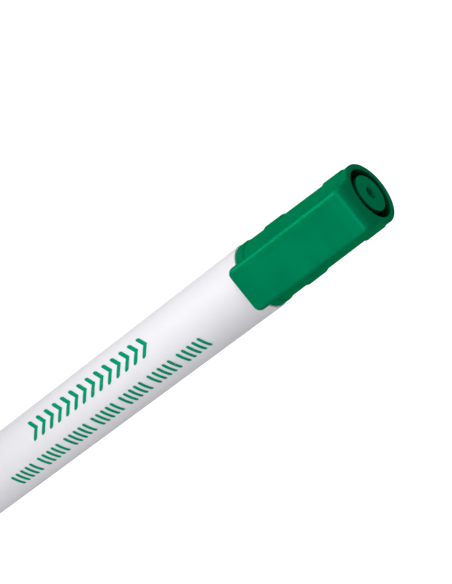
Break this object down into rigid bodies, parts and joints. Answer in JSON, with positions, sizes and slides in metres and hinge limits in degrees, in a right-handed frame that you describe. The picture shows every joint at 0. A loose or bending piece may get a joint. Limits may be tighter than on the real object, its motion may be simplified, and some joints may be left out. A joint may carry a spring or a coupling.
{
  "type": "whiteboard marker",
  "caption": "Round whiteboard marker with a pull-off cap, flat pocket clip, bullet nib, fibre ink reservoir and flat tail plug.",
  "frame": {"origin": "centre of the tail plug's flat end face", "axes": "+Z along the pen's axis from the tail to the cap; the cap's clip faces -Y; +X to the right when the clip is looked at"},
  "size_m": [0.016, 0.018, 0.138],
  "materials": {
    "barrel_white": "semi-gloss white polypropylene",
    "cap_green": "satin green polypropylene",
    "liner_green": "satin darker green polyethylene",
    "plug_green": "satin green polypropylene",
    "holder_white": "satin white polypropylene",
    "nib_felt": "bonded acrylic fibre soaked with green ink",
    "reservoir_fibre": "polyester fibre bundle soaked with green ink",
    "film_clear": "thin milky film"
  },
  "bodies": {
    "pen": {"barrel": "barrel_white", "end_plug": "plug_green", "ink_reservoir": "reservoir_fibre", "reservoir_film": "film_clear", "nib_holder": "holder_white", "nib": "nib_felt"},
    "cap_liner": {"inner_cap": "liner_green"},
    "cap": {"cap_shell": "cap_green"}
  },
  "joints": [
    {"name": "cap_pull", "type": "slide", "parent": "pen", "child": "cap_liner", "axis": [0, 0, 1], "range_m": [0, 0.04]},
    {"name": "cap_twist", "type": "hinge", "parent": "cap_liner", "child": "cap", "pos_m": [0, 0, 0.13], "axis": [0, 0, 1], "continuous": true}
  ]
}
